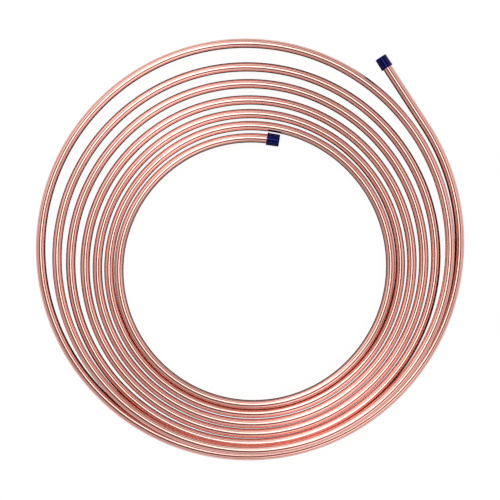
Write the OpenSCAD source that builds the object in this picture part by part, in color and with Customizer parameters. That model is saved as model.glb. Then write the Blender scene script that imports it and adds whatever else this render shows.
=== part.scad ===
// Coil of copper-nickel brake line: one length of round tube wound flat in seven turns,
// fanned out on one side, bunched on the other, with a push-on cap on each end.

/* [Tube] */
// Outside diameter of the tube, three eighths of an inch
tube_od = 9.525; // [8:0.025:11]
// Thickness of the tube wall
tube_wall = 0.889; // [0.6:0.001:1.5]

/* [Coil] */
// Radius of the innermost bend, to the middle of the tube
first_bend = 133; // [120:0.5:160]
// Degrees of the innermost bend before the fan
inner_lead = 44.7; // [38:0.1:60]
// Length of the straight outer end
tail_length = 81; // [50:1:110]
// Height that the first turn rides on the second at the bunch, in tube diameters
first_ride = 0.5; // [0.46:0.01:0.6]
// Height that the last whole turn rides on its neighbours at the bunch, in tube diameters
last_ride = 0.86; // [0.84:0.01:0.95]

/* [End caps] */
// Length of a cap over all
cap_length = 12.8; // [10:0.1:16]
// Thickness of a cap's side wall at its mouth
cap_wall = 1.4; // [1.1:0.05:1.8]
// Thickness of a cap's closed end
cap_floor = 1.5; // [1:0.1:2.5]
// Radius of the rounded edge round a cap's closed end
cap_round = 0.8; // [0.3:0.1:1]
// Degrees by which a cap's side narrows towards its closed end
cap_draft = 0.7; // [0.2:0.1:1.5]
// Thickness of the round bead at a cap's mouth
bead_thickness = 1.4; // [0.8:0.1:2]
// Height of the bead above the cap's side
bead_height = 0.2; // [0.1:0.05:0.4]
// Room all round the tube inside a cap
cap_slack = 0.15; // [0.12:0.01:0.25]
// Room between the tube's cut end and a cap's closed end
cap_room = 0.3; // [0.25:0.05:0.8]

/* [Hidden] */
$fn = 96;

copper = [0.80, 0.47, 0.40];
navy = [0.08, 0.09, 0.30];

// Spacing of each turn from the next, in tube diameters, at the fan and at the bunch
fan_pitch = [1.25, 1.3, 1.45, 1.75, 1.8, 2.45];
bunch_pitch = [0.96, 1.1, 1.05, 1.03, 0.8, 0.61];
// Widening of the bend at the first fan joint, at the side of each turn, and before the tail
first_widening = 0.18;
side_widening = [0.2, 0.02, 0.05, 0.07, 0.09, 0.34, 0.28];
tail_widening = 0.62;

// The coil is a chain of bends. Bend 0 leads in from the inner end to the first fan joint. Every
// turn then has a quarter bend to the side, a quarter bend on to the bunch and a half bend back to
// the fan, each wider than the one before. The last one is a quarter bend that ends in the tail.
fan_heading = 123;
last_turn = len(fan_pitch);
last_bend = 3 * last_turn + 3;

function fan_step(turn) = turn == 0 ? first_widening : (bunch_pitch[turn - 1] - side_widening[turn]) / 2;
function bunch_step(turn) = turn == last_turn ? tail_widening : (fan_pitch[turn] - side_widening[turn]) / 2;
function widening(joint) =
    let (turn = floor(joint / 3), place = joint % 3)
    place == 0 ? fan_step(turn) : place == 1 ? side_widening[turn] : bunch_step(turn);
function thousandths(x) = round(x * 1000) / 1000;
function radius(bend) =
    bend == 0 ? first_bend : thousandths(radius(bend - 1) + tube_od * widening(bend - 1));
bend_radius = [for (bend = [0 : last_bend]) radius(bend)];
function is_half(bend) = bend % 3 == 0 && bend < last_bend;

// A turn that rides slopes up to the bunch and back down. It comes down a little lower than it
// started, because it is wider on the way back, so the coil starts that much above the floor.
function ride(turn) = tube_od * (turn == 0 ? first_ride : turn == last_turn - 1 ? last_ride : 0);
function way_out(turn) = bend_radius[3 * turn + 1] + bend_radius[3 * turn + 2];
function way_back(turn) = 2 * bend_radius[3 * turn + 3];
function slope(turn) = turn < 0 ? 0 : asin(ride(turn) / way_out(turn));
function sink(turn) = turn < 0 ? 0 : sink(turn - 1) + (way_back(turn) - way_out(turn)) * sin(slope(turn));
start_height = sink(last_turn - 1);

// Each end climbs just enough for its wider cap to rest on the floor
cap_rise = cap_slack + cap_wall + bead_height;
cap_grip = cap_length - cap_floor - cap_room;
cap_angle = cap_length / first_bend * 180 / PI;
lead_slope = asin((cap_rise - start_height) / (first_bend * (1 - cos(inner_lead - cap_angle))));
tail_slope = asin(cap_rise / (bend_radius[last_bend] + tail_length - cap_length));

// Roll of the tube about its own axis at the start of a bend, which tips the bend's plane.
// Rolls are rounded to a cosine of six digits.
function rounded_roll(angle) = sign(angle) * acos(round(cos(angle) * 1000000) / 1000000);
function roll(bend) =
    let (turn = floor((bend - 1) / 3))
    bend == last_bend ? rounded_roll(tail_slope) :
    bend % 3 == 1 ? rounded_roll(slope(turn) - slope(turn - 1)) :
    0;

// Plan of the bends: each one's heading at its end, its middle, and the box round the outer turns
function turned(p, angle) = [p.x * cos(angle) - p.y * sin(angle), p.x * sin(angle) + p.y * cos(angle)];
function end_heading(k) = 90 * (k + floor(k / 3)) - (k == last_bend ? 90 : 0);
function along(angle) = turned([1, 0], angle);
bend_middle = [for (k = 1, m = [-bend_radius[1], 0];
                    k <= last_bend;
                    m = m + (bend_radius[k] - bend_radius[min(k + 1, last_bend)]) * along(end_heading(k)),
                    k = k + 1) m];
outline = [for (k = [last_bend - 5 : last_bend], a = [end_heading(k - 1) : end_heading(k)])
    turned(bend_middle[k - 1] + bend_radius[k] * along(a), fan_heading)];
outline_x = [for (p = outline) p.x];
outline_y = [for (p = outline) p.y];
plan_middle = [(min(outline_x) + max(outline_x)) / 2, (min(outline_y) + max(outline_y)) / 2];

// Stands a child, drawn from the first fan joint with the tube heading along Y, in the part's frame
module in_place() {
    translate([-plan_middle.x, -plan_middle.y, tube_od / 2 + start_height])
        rotate([0, 0, fan_heading]) children();
}

module tube_section() {
    difference() {
        circle(d = tube_od);
        circle(d = tube_od - 2 * tube_wall);
    }
}

// A stretch of tube bent about the middle at the origin, from one angle to another
module bend(radius, from, to) {
    rotate_extrude(angle = to - from, start = from) translate([radius, 0]) tube_section();
}

module tail() {
    rotate([-90, 0, 0]) linear_extrude(tail_length) tube_section();
}

// Bend k and all that follow it, each starting where the one before it ends
module bends(k) {
    r = bend_radius[k];
    sweep = is_half(k) ? 180 : 90;
    end = is_half(k) ? [-2 * r, 0, 0] : [-r, r, 0];
    translate([-r, 0, 0]) bend(r, 0, sweep);
    if (k < last_bend) translate(end) rotate([0, roll(k + 1), sweep]) bends(k + 1);
    else translate(end) rotate([0, 0, sweep]) tail();
}

module tube() {
    color(copper) in_place() {
        rotate([0, rounded_roll(lead_slope), 0]) translate([-first_bend, 0, 0])
            bend(first_bend, -inner_lead, 0);
        rotate([0, roll(1), 0]) bends(1);
    }
}

// A moulded cap, closed at the bottom, with its sleeve along Z and a round bead at its mouth
module end_cap() {
    bore = tube_od / 2 + cap_slack;
    sleeve = bore + cap_wall;
    bead_round = bead_thickness / 2;
    foot = sleeve - (cap_length - bead_round - cap_round) * tan(cap_draft);
    lip = sleeve + bead_height - bead_round;
    rotate_extrude() difference() {
        union() {
            polygon([[0, 0], [foot - cap_round, 0], [foot, cap_round], [sleeve, cap_length - bead_round],
                     [lip, cap_length], [0, cap_length]]);
            translate([foot - cap_round, cap_round]) circle(r = cap_round);
            translate([lip, cap_length - bead_round]) circle(r = bead_round);
        }
        translate([0, cap_floor]) square([bore, cap_length]);
    }
}

// The inner cap lies along the chord of the short bend that it covers
module inner_end_cap() {
    half_angle = cap_grip / 2 / first_bend * 180 / PI;
    chord_middle = first_bend * (1 + cos(half_angle)) / 2;
    color(navy) in_place()
        rotate([0, lead_slope, 0]) translate([-first_bend, 0, 0]) rotate([0, 0, half_angle - inner_lead])
        translate([chord_middle, cap_grip / 2 - cap_length, 0]) rotate([-90, 0, 0]) end_cap();
}

module outer_end_cap() {
    r = bend_radius[last_bend];
    heading = end_heading(last_bend);
    joint = bend_middle[last_bend - 1] + r * along(heading);
    color(navy) in_place()
        translate([joint.x, joint.y, r * sin(tail_slope) - start_height]) rotate([tail_slope, 0, heading])
        translate([0, tail_length - cap_grip + cap_length, 0]) rotate([90, 0, 0]) end_cap();
}

tube();
inner_end_cap();
outer_end_cap();
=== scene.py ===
import bpy
import numpy as np
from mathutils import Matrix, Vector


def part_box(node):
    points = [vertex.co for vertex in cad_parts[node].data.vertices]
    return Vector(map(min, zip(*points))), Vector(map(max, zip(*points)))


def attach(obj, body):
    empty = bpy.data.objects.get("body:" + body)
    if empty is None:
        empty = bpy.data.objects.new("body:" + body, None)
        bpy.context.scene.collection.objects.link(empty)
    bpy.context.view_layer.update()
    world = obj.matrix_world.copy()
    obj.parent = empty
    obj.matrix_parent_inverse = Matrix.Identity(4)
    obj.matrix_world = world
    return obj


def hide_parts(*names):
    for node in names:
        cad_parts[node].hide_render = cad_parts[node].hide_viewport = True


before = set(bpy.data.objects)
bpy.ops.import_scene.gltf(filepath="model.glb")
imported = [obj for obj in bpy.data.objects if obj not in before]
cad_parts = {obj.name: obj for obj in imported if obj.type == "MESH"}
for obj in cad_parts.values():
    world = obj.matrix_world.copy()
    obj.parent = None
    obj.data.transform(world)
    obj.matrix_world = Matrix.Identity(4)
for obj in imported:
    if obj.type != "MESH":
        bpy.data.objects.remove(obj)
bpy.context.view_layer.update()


# The tube: one length of copper-nickel brake line, drawn bright through a die and wound flat in
# seven turns. Nothing holds it. Its turns lie beside each other on the floor, fanned out on one
# side and bunched on the other, where the first and the last whole turn ride up on their neighbours.
tube_od = 0.009525
tube_wall = 0.000889
first_bend = 0.133
inner_lead = np.radians(44.7)
tail_length = 0.081
fan_heading = np.radians(123)
ring_spacing = 0.006
tube_sides = 36

# Spacing of each turn from the next at the fan and at the bunch, and the widening of the bend at the
# first fan joint, at the side of each turn and before the tail, all in tube diameters
fan_pitch = np.array([1.25, 1.3, 1.45, 1.75, 1.8, 2.45])
bunch_pitch = np.array([0.96, 1.1, 1.05, 1.03, 0.8, 0.61])
first_widening = 0.18
side_widening = np.array([0.2, 0.02, 0.05, 0.07, 0.09, 0.34, 0.28])
tail_widening = 0.62
turns = len(fan_pitch) + 1
# Heights that the first and the last whole turn ride at the bunch, in tube diameters
first_ride = 0.5
last_ride = 0.86

# Every turn is a quarter bend to the side, a quarter bend to the bunch and a half bend back to the
# fan, each wider than the one before. The last bend is a quarter one, and the tail follows it.
fan_steps = np.append(first_widening, (bunch_pitch - side_widening[1:]) / 2)
bunch_steps = np.append((fan_pitch - side_widening[:-1]) / 2, tail_widening)
steps = np.column_stack([fan_steps, side_widening, bunch_steps]).ravel()
bend_radius = first_bend + tube_od * np.append(0, np.cumsum(steps))
bend_sweep = np.radians(np.tile([90, 90, 180], turns))
bend_sweep[-1] = np.radians(90)

# A turn that rides slopes up to the bunch and back down, and ends a little lower than it started
ride = np.zeros(turns)
ride[0] = first_ride * tube_od
ride[-2] = last_ride * tube_od
way_out = bend_radius[1::3] + bend_radius[2::3]
way_back = 2 * bend_radius[3::3]
turn_slope = np.arcsin(ride / way_out)
start_height = np.sum((way_back - way_out) * np.sin(turn_slope))

# Both ends climb just enough for the wider caps to rest on the floor
cap_length = 0.0128
cap_wall = 0.0014
cap_slack = 0.00015
bead_height = 0.0002
cap_rise = cap_slack + cap_wall + bead_height
lead_reach = first_bend * (1 - np.cos(inner_lead - cap_length / first_bend))
lead_slope = np.arcsin((cap_rise - start_height) / lead_reach)
tail_slope = np.arcsin(cap_rise / (bend_radius[-1] + tail_length - cap_length))
roll = np.zeros(3 * turns)
roll[::3] = np.diff(turn_slope, prepend=0)
roll[-1] = tail_slope


def rolled(angle):
    """Turn about y, the way that the tube heads: x tips towards -z by the angle."""
    c, s = np.cos(angle), np.sin(angle)
    return np.array([[c, 0, s], [0, 1, 0], [-s, 0, c]])


def swung(angle):
    """Turn about z, the axis of a bend: x swings towards y by the angle."""
    c, s = np.cos(angle), np.sin(angle)
    return np.array([[c, -s, 0], [s, c, 0], [0, 0, 1]])


def arc(radius, start, end):
    """Points and headings along a bend: a circle round (-radius, 0) that passes the origin heading
    along y, one point for every ring spacing, without the last one."""
    count = int(np.ceil(radius * (end - start) / ring_spacing))
    a = np.linspace(start, end, count, endpoint=False)
    points = np.column_stack([radius * (np.cos(a) - 1), radius * np.sin(a), 0 * a])
    headings = np.column_stack([-np.sin(a), np.cos(a), 0 * a])
    return points, headings


def tube_route():
    """Middle line of the tube and its heading at every point. Each bend starts where the one before
    it ends: the frame rolls about the heading, follows the arc and swings round by the bend's sweep."""
    points, headings = arc(first_bend, -inner_lead, 0)
    lead = rolled(lead_slope)
    line = [points @ lead.T]
    way = [headings @ lead.T]
    place = np.zeros(3)
    axes = np.eye(3)
    for radius, sweep, tip in zip(bend_radius[1:], bend_sweep, roll):
        axes = axes @ rolled(tip)
        points, headings = arc(radius, 0, sweep)
        line.append(place + points @ axes.T)
        way.append(headings @ axes.T)
        place = place + axes @ [radius * (np.cos(sweep) - 1), radius * np.sin(sweep), 0]
        axes = axes @ swung(sweep)
    run = np.linspace(0, tail_length, int(tail_length / ring_spacing))
    line.append(place + np.outer(run, axes[:, 1]))
    way.append(np.tile(axes[:, 1], (len(run), 1)))
    turned = swung(fan_heading).T
    return np.vstack(line) @ turned, np.vstack(way) @ turned


# The middle of the route's box goes to the middle of the tube's box in the frame
route, heading = tube_route()
tube_low, tube_high = (np.array(corner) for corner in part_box("tube"))
route += (tube_low + tube_high) / 2 - (route.min(axis=0) + route.max(axis=0)) / 2
side = np.cross(heading, [0, 0, 1])
side /= np.linalg.norm(side, axis=1, keepdims=True)
up = np.cross(side, heading)
reach = np.append(0, np.cumsum(np.linalg.norm(np.diff(route, axis=0), axis=1)))


def rings(centre, across, upward, radius, sides):
    """A circle round every point of a line: centre + radius (cos v across + sin v upward), with v
    going once round from the lowest point."""
    v = np.linspace(0, 2 * np.pi, sides, endpoint=False) - np.pi / 2
    spoke = np.cos(v)[:, None] * across[:, None] + np.sin(v)[:, None] * upward[:, None]
    return centre[:, None] + radius[:, None, None] * spoke


def faces_between(first, second):
    """Corner numbers of the faces that join each closed row of points to the row after it."""
    return np.stack([first, second, np.roll(second, -1, axis=-1), np.roll(first, -1, axis=-1)], axis=-1)


def solid_piece(name, points, faces):
    """A smooth-shaded mesh object from an array of points and a list of faces, at the origin."""
    mesh = bpy.data.meshes.new(name)
    mesh.from_pydata(points.reshape(-1, 3), [], faces)
    mesh.polygons.foreach_set("use_smooth", np.ones(len(mesh.polygons), bool))
    piece = bpy.data.objects.new(name, mesh)
    bpy.context.scene.collection.objects.link(piece)
    return piece


def drawn_tube():
    """The wall of the tube: rings of the outside carried along the route and rings of the bore back
    again, joined at both cut ends. The UV map holds metres round the tube and along it."""
    there_and_back = np.append(np.arange(len(route)), np.arange(len(route))[::-1])
    radius = np.repeat([tube_od / 2, tube_od / 2 - tube_wall], len(route))
    grid = rings(route[there_and_back], side[there_and_back], up[there_and_back], radius, tube_sides)
    number = np.arange(grid.shape[0] * tube_sides).reshape(-1, tube_sides)
    faces = faces_between(number, np.roll(number, -1, axis=0)).reshape(-1, 4)
    piece = solid_piece("brake_line_tube", grid, faces.tolist())
    column = np.arange(tube_sides)
    around = np.stack([column, column, column + 1, column + 1], axis=-1) * np.pi * tube_od / tube_sides
    row = reach[there_and_back]
    along = np.stack([row, np.roll(row, -1), np.roll(row, -1), row], axis=-1)
    corners = np.empty((len(row), tube_sides, 4, 2))
    corners[..., 0] = around[None]
    corners[..., 1] = along[:, None]
    uv = piece.data.uv_layers.new(name="drawn_length")
    uv.data.foreach_set("uv", corners.ravel())
    return piece


def new_finish(name):
    """An empty material: its node tree, its surface shader and a short way to add and join nodes."""
    material = bpy.data.materials.new(name)
    material.use_nodes = True
    tree = material.node_tree
    shader = tree.nodes["Principled BSDF"]

    def add(kind, **inputs):
        """A new node with each named input joined to another node's output or set to a value."""
        node = tree.nodes.new(kind)
        for key, value in inputs.items():
            socket = node.inputs[key.replace("_", " ")]
            if isinstance(value, bpy.types.NodeSocket):
                tree.links.new(value, socket)
            else:
                socket.default_value = value
        return node

    return material, tree, shader, add


# The metal where it is fresh and where it is dull, its tint at glancing angles, and its roughness
# along the lines of the draw, with what a scuff adds
fresh_metal = (0.85, 0.49, 0.43, 1)
dull_metal = (0.81, 0.44, 0.38, 1)
glancing_tint = (0.52, 0.54, 0.54, 1)
smooth_line = 0.07
rough_line = 0.13
scuff_roughness = 0.08
# Lines of the draw and scuffs for every metre round the tube and along it, and dull patches a metre
line_count = (6000, 25, 1)
scuff_count = (500, 60, 1)
patch_count = 22.0
# Levels of their noise at which each begins to show and shows in full
line_begins = 0.3
line_full = 0.7
scuff_begins = 0.55
scuff_full = 0.75
patch_begins = 0.35
patch_full = 0.7
line_strength = 0.15
line_depth = 0.00002


def bright_copper_nickel():
    """Salmon metal with fine lines along the draw, faint dull patches and light handling scuffs."""
    material, tree, shader, add = new_finish("bright_copper_nickel")
    drawn = add("ShaderNodeUVMap")
    drawn.uv_map = "drawn_length"
    lines_at = add("ShaderNodeVectorMath", Vector=drawn.outputs["UV"])
    lines_at.operation = "MULTIPLY"
    lines_at.inputs[1].default_value = line_count
    lines = add("ShaderNodeTexNoise", Vector=lines_at.outputs[0], Scale=1.0, Detail=3.0)
    scuff_at = add("ShaderNodeVectorMath", Vector=drawn.outputs["UV"])
    scuff_at.operation = "MULTIPLY"
    scuff_at.inputs[1].default_value = scuff_count
    scuff = add("ShaderNodeTexNoise", Vector=scuff_at.outputs[0], Scale=1.0, Detail=4.0)
    scuff_level = scuff.outputs["Fac"]
    scuffed = add("ShaderNodeMapRange", Value=scuff_level, From_Min=scuff_begins, From_Max=scuff_full)
    place = add("ShaderNodeTexCoord")
    patch = add("ShaderNodeTexNoise", Vector=place.outputs["Object"], Scale=patch_count, Detail=4.0)
    dull = add("ShaderNodeMapRange", Value=patch.outputs["Fac"], From_Min=patch_begins, From_Max=patch_full)
    colour = add("ShaderNodeMixRGB", Fac=dull.outputs[0])
    colour.inputs["Color1"].default_value = fresh_metal
    colour.inputs["Color2"].default_value = dull_metal
    tree.links.new(colour.outputs["Color"], shader.inputs["Base Color"])
    rough = add("ShaderNodeMapRange", Value=lines.outputs["Fac"], From_Min=line_begins, From_Max=line_full)
    rough.inputs["To Min"].default_value = smooth_line
    rough.inputs["To Max"].default_value = rough_line
    worn = add("ShaderNodeMath")
    worn.operation = "MULTIPLY_ADD"
    tree.links.new(scuffed.outputs[0], worn.inputs[0])
    worn.inputs[1].default_value = scuff_roughness
    tree.links.new(rough.outputs[0], worn.inputs[2])
    tree.links.new(worn.outputs[0], shader.inputs["Roughness"])
    bump = add("ShaderNodeBump", Height=lines.outputs["Fac"], Strength=line_strength, Distance=line_depth)
    tree.links.new(bump.outputs[0], shader.inputs["Normal"])
    shader.inputs["Metallic"].default_value = 1.0
    shader.inputs["Specular Tint"].default_value = glancing_tint
    return material


tube = drawn_tube()
tube.data.materials.append(bright_copper_nickel())
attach(tube, "root")
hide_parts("tube")


# The end caps: two cups of dark blue plastic, moulded in one shot and pushed over the cut ends to
# keep dirt out of the bore. Each has a slight draft, a bead round its mouth, and a dimple with the
# stub of the moulding gate in its closed end.
cap_floor = 0.0015
cap_room = 0.0003
cap_grip = cap_length - cap_floor - cap_room
cap_bore = tube_od / 2 + cap_slack
cap_sleeve = cap_bore + cap_wall
cap_round = 0.0008
cap_draft = np.radians(0.7)
bead_thickness = 0.0014
dimple_radius = 0.0028
dimple_depth = 0.0003
gate_radius = 0.0006
gate_height = 0.0002
gate_round = 0.0001
gate_foot_round = 0.00005
dimple_round = 0.0002
shelf_round = 0.0001
bead_round = 0.0002
mouth_round = 0.0006
bore_round = 0.0003
cap_sides = 64


def rounded(corners, rounds, count=6):
    """An outline through corners, each cut off at its rounding and bridged by the quadratic curve
    (1-t)^2 start + 2t(1-t) corner + t^2 end."""
    corners = np.array(corners)
    t = np.linspace(0, 1, count)[:, None]
    outline = [corners[:1]]
    for before, corner, after, cut in zip(corners, corners[1:], corners[2:], rounds):
        start = corner + cut * (before - corner) / np.linalg.norm(before - corner)
        end = corner + cut * (after - corner) / np.linalg.norm(after - corner)
        outline.append((1 - t) ** 2 * start + 2 * t * (1 - t) * corner + t ** 2 * end)
    outline.append(corners[-1:])
    return np.vstack(outline)


def cap_outline():
    """Radius and height of the cap's skin, from the gate in its closed end, out and up the sleeve,
    over the mouth and down the bore to the inside of the closed end."""
    shelf = cap_length - bead_thickness
    foot = cap_sleeve - shelf * np.tan(cap_draft)
    bead = cap_sleeve + bead_height
    corners_and_rounds = [
        [0, dimple_depth - gate_height, 0],
        [gate_radius, dimple_depth - gate_height, gate_round],
        [gate_radius, dimple_depth, gate_foot_round],
        [dimple_radius, dimple_depth, dimple_round],
        [dimple_radius + dimple_depth, 0, dimple_round],
        [foot, 0, cap_round],
        [cap_sleeve, shelf, shelf_round],
        [bead, shelf + bead_height, bead_round],
        [bead, cap_length, mouth_round],
        [cap_bore, cap_length, bore_round],
        [cap_bore, cap_floor, bore_round],
        [0, cap_floor, 0],
    ]
    table = np.array(corners_and_rounds)
    return rounded(table[:, :2], table[1:-1, 2])


def pushed_on_cap(name, closed_end, axis, upward):
    """The cap's outline turned about its axis, from the closed end towards the mouth, with a single
    point at each pole."""
    outline = cap_outline()
    middle = closed_end + outline[1:-1, 1:] * axis
    across = np.broadcast_to(np.cross(axis, upward), middle.shape)
    grid = rings(middle, across, np.broadcast_to(upward, middle.shape), outline[1:-1, 0], cap_sides)
    poles = closed_end + outline[[0, -1], 1:] * axis
    number = np.arange(len(middle) * cap_sides).reshape(-1, cap_sides)
    skin = faces_between(number[:-1], number[1:]).reshape(-1, 4).tolist()
    gate_pole = np.full(cap_sides, number.size)
    bore_pole = gate_pole + 1
    gate = np.stack([gate_pole, number[0], np.roll(number[0], -1)], axis=-1).tolist()
    bore = np.stack([bore_pole, np.roll(number[-1], -1), number[-1]], axis=-1).tolist()
    return solid_piece(name, np.vstack([grid.reshape(-1, 3), poles]), skin + gate + bore)


# The plastic's two shades, its blue gleam, its clouds and mould grain a metre, and the grain's levels,
# roughness and depth
deep_navy = (0.0005, 0.0007, 0.02, 1)
cloudy_navy = (0.001, 0.0014, 0.042, 1)
blue_gleam = (0.14, 0.16, 1.0, 1)
gleam_level = 0.9
cloud_count = 300.0
grain_count = 2500.0
grain_begins = 0.3
grain_full = 0.7
smooth_grain = 0.12
rough_grain = 0.18
grain_strength = 0.2
grain_depth = 0.00004


def navy_plastic():
    """Glossy dark blue plastic: slightly cloudy colour, a blue gleam, and a fine grain from the mould."""
    material, tree, shader, add = new_finish("navy_cap_plastic")
    place = add("ShaderNodeTexCoord")
    cloud = add("ShaderNodeTexNoise", Vector=place.outputs["Object"], Scale=cloud_count, Detail=3.0)
    colour = add("ShaderNodeMixRGB", Fac=cloud.outputs["Fac"])
    colour.inputs["Color1"].default_value = deep_navy
    colour.inputs["Color2"].default_value = cloudy_navy
    tree.links.new(colour.outputs["Color"], shader.inputs["Base Color"])
    grain = add("ShaderNodeTexNoise", Vector=place.outputs["Object"], Scale=grain_count, Detail=2.0)
    rough = add("ShaderNodeMapRange", Value=grain.outputs["Fac"], From_Min=grain_begins, From_Max=grain_full)
    rough.inputs["To Min"].default_value = smooth_grain
    rough.inputs["To Max"].default_value = rough_grain
    tree.links.new(rough.outputs[0], shader.inputs["Roughness"])
    bump = add("ShaderNodeBump", Height=grain.outputs["Fac"], Strength=grain_strength, Distance=grain_depth)
    tree.links.new(bump.outputs[0], shader.inputs["Normal"])
    shader.inputs["Specular IOR Level"].default_value = gleam_level
    shader.inputs["Specular Tint"].default_value = blue_gleam
    return material


# The inner cap lies along the chord of the short bend that it covers
grip_middle = np.argmin(abs(reach - cap_grip / 2))
chord_drop = first_bend * (1 - np.cos(cap_grip / 2 / first_bend)) / 2
inner_axis = heading[grip_middle]
inner_mouth = route[grip_middle] + inner_axis * (cap_grip - reach[grip_middle]) - side[0] * chord_drop
inner_cap = pushed_on_cap(
    "inner_end_cap_moulding",
    inner_mouth - inner_axis * cap_length,
    inner_axis,
    up[grip_middle],
)
outer_cap = pushed_on_cap(
    "outer_end_cap_moulding",
    route[-1] + heading[-1] * (cap_length - cap_grip),
    -heading[-1],
    up[-1],
)
cap_finish = navy_plastic()
for cap, node in ((inner_cap, "inner_end_cap"), (outer_cap, "outer_end_cap")):
    cap.data.materials.append(cap_finish)
    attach(cap, "root")
    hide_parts(node)


# The studio: a wide white floor in a room whose walls go up in tan, white, brown and grey bands, with
# lighter and darker places in them. One long oval lamp hangs over the coil, off to its fanned side.
floor_half = 10.0
floor_white = 0.13
floor_glow = 0.92
# Painted shade in the floor's mirrored glow: how far off a turn still darkens it, the lean of the light that
# it stands for, and how deeply
painted_shade_reach = 0.1
painted_shade_lean = np.radians(75)
painted_shade_depth = 12.0
# The lamp's distance, its bearing from +X and lean from overhead, and the turn of its long side from +X
lamp_distance = 3.0
lamp_place = (108, 17)
lamp_turn = 120
lamp_long = 2.6
lamp_short = 0.95
lamp_brightness = 1.45
# The room's bands from the horizon up, each with its lean from straight overhead
brown_band = (0.22, 0.12, 0.105, 1)
tan_band = (0.42, 0.3, 0.27, 1)
grey_band = (0.45, 0.45, 0.45, 1)
white_band = (0.87, 0.87, 0.87, 1)
wall_bands = (
    (90, tan_band),
    (74, tan_band),
    (66, white_band),
    (45, white_band),
    (38, brown_band),
    (16, brown_band),
    (10, grey_band),
)
# Lighter and darker places in the room: bearing from +X, lean from overhead, the angles from there at
# which the change begins and is full, and how many times as bright the room becomes
wall_places = (
    (124, 28, 54, 14, 1.8),
    (126, 82, 40, 10, 1.2),
    (302, 34, 32, 8, 1.2),
    (300, 52, 28, 4, 1.7),
    (20, 78, 40, 10, 1.4),
    (212, 32, 42, 12, 0.6),
    (65, 72, 42, 12, 0.75),
)


def pointing(bearing, lean):
    """Unit direction at a bearing from +X, leaning down from straight overhead by an angle."""
    a, p = np.radians(bearing), np.radians(lean)
    return np.array([np.sin(p) * np.cos(a), np.sin(p) * np.sin(a), np.cos(p)])


def white_floor():
    """A flat square under the coil that keeps its shadow. It glows for the lens and in mirrors, and in a
    mirror the glow carries a painted shade, dimmed near the turns as if they shaded it from light that comes
    in from all round."""
    corner = floor_half * np.array([[-1, -1, 0], [1, -1, 0], [1, 1, 0], [-1, 1, 0]], float)
    floor = solid_piece("studio_floor", corner, [[0, 1, 2, 3]])
    material, tree, shader, add = new_finish("studio_floor_white")
    tree.nodes.remove(shader)
    lit = add("ShaderNodeBsdfDiffuse", Color=(floor_white, floor_white, floor_white, 1))
    ray = add("ShaderNodeLightPath")
    place = add("ShaderNodeTexCoord")
    outward = add("ShaderNodeVectorMath", Vector=place.outputs["Object"])
    outward.operation = "NORMALIZE"
    lit_from = add("ShaderNodeVectorMath", Vector=outward.outputs[0])
    lit_from.operation = "MULTIPLY_ADD"
    lit_from.inputs[1].default_value = np.full(3, np.sin(painted_shade_lean))
    lit_from.inputs[2].default_value = (0, 0, np.cos(painted_shade_lean))
    # Painted shade: ambient occlusion, tilted outward and raised to a power, darkens the glow that mirrors
    # see near the turns
    painted_shade_occlusion = add("ShaderNodeAmbientOcclusion", Distance=painted_shade_reach, Normal=lit_from.outputs[0])
    painted_shade = add("ShaderNodeMath")
    painted_shade.operation = "POWER"
    tree.links.new(painted_shade_occlusion.outputs["AO"], painted_shade.inputs[0])
    painted_shade.inputs[1].default_value = painted_shade_depth

    def joined(kind, first, second):
        """The result of a sum of this kind on two outputs."""
        node = add("ShaderNodeMath")
        node.operation = kind
        tree.links.new(first, node.inputs[0])
        tree.links.new(second, node.inputs[1])
        return node.outputs[0]

    mirrored = joined("MAXIMUM", ray.outputs["Is Glossy Ray"], ray.outputs["Is Transmission Ray"])
    mirrored = joined("MULTIPLY", mirrored, painted_shade.outputs[0])
    seen = joined("MAXIMUM", ray.outputs["Is Camera Ray"], mirrored)
    strength = add("ShaderNodeMath")
    strength.operation = "MULTIPLY"
    tree.links.new(seen, strength.inputs[0])
    strength.inputs[1].default_value = floor_glow
    glow = add("ShaderNodeEmission", Strength=strength.outputs[0])
    both = add("ShaderNodeAddShader")
    tree.links.new(lit.outputs[0], both.inputs[0])
    tree.links.new(glow.outputs[0], both.inputs[1])
    tree.links.new(both.outputs[0], tree.nodes["Material Output"].inputs["Surface"])
    floor.data.materials.append(material)
    return floor


def overhead_lamp():
    """A flat oval lamp that faces straight down, its long side turned from +X by an angle. Its power
    is four times its brightness times the area of its box."""
    lamp = bpy.data.lights.new("overhead_lamp", "AREA")
    lamp.shape = "ELLIPSE"
    lamp.size = lamp_long
    lamp.size_y = lamp_short
    lamp.energy = 4 * lamp_brightness * lamp_long * lamp_short
    stand = bpy.data.objects.new("overhead_lamp", lamp)
    stand.location = lamp_distance * pointing(*lamp_place)
    stand.rotation_euler = (0, 0, np.radians(lamp_turn))
    bpy.context.scene.collection.objects.link(stand)


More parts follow.
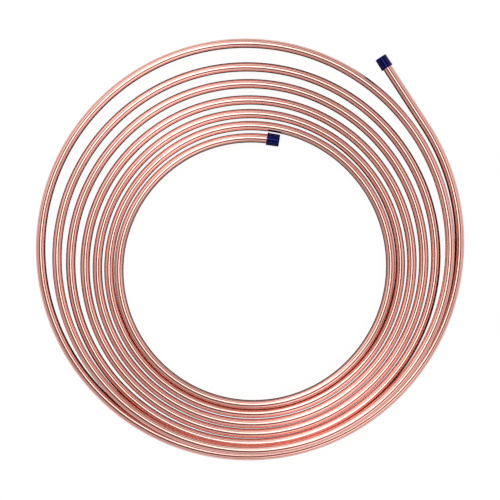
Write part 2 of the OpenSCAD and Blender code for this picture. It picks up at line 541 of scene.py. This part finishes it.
def banded_room():
    """Colour by height, from the upward part of the view direction, times the change of each lighter or
    darker place, which grows from one as the cosine of the angle to it goes from the edge to the core."""
    room = bpy.data.worlds.new("studio_room")
    room.use_nodes = True
    tree = room.node_tree
    look = tree.nodes.new("ShaderNodeTexCoord").outputs["Generated"]
    parts = tree.nodes.new("ShaderNodeSeparateXYZ")
    tree.links.new(look, parts.inputs[0])
    ramp = tree.nodes.new("ShaderNodeValToRGB")
    tree.links.new(parts.outputs["Z"], ramp.inputs["Fac"])
    stops = ramp.color_ramp.elements
    stops.remove(stops[1])
    for lean, colour in wall_bands:
        stop = stops.new(np.cos(np.radians(lean)))
        stop.color = colour
    stops.remove(stops[0])
    light = ramp.outputs["Color"]
    for bearing, lean, edge, core, change in wall_places:
        towards = tree.nodes.new("ShaderNodeVectorMath")
        towards.operation = "DOT_PRODUCT"
        tree.links.new(look, towards.inputs[0])
        towards.inputs[1].default_value = pointing(bearing, lean)
        shade = tree.nodes.new("ShaderNodeMapRange")
        shade.interpolation_type = "SMOOTHSTEP"
        tree.links.new(towards.outputs["Value"], shade.inputs["Value"])
        shade.inputs["From Min"].default_value = np.cos(np.radians(edge))
        shade.inputs["From Max"].default_value = np.cos(np.radians(core))
        shade.inputs["To Min"].default_value = 1.0
        shade.inputs["To Max"].default_value = change
        total = tree.nodes.new("ShaderNodeVectorMath")
        total.operation = "MULTIPLY"
        tree.links.new(light, total.inputs[0])
        tree.links.new(shade.outputs["Result"], total.inputs[1])
        light = total.outputs[0]
    tree.links.new(light, tree.nodes["Background"].inputs["Color"])
    return room


white_floor()
overhead_lamp()
bpy.context.scene.world = banded_room()


# The camera: a long lens that looks straight down on the coil, with the fanned side at the top. The
# width of its view is measured at the height of the middle of a tube that lies on the floor.
camera_height = 2.4
view_width = 0.50665
view_middle = (-0.00008, -0.00047)
camera = bpy.data.cameras.new("camera")
camera.sensor_width = 36
camera.lens = camera.sensor_width * (camera_height - tube_od / 2) / view_width
viewpoint = bpy.data.objects.new("camera", camera)
viewpoint.location = (*view_middle, camera_height)
bpy.context.scene.collection.objects.link(viewpoint)
bpy.context.scene.camera = viewpoint
bpy.context.scene.view_settings.view_transform = "Standard"
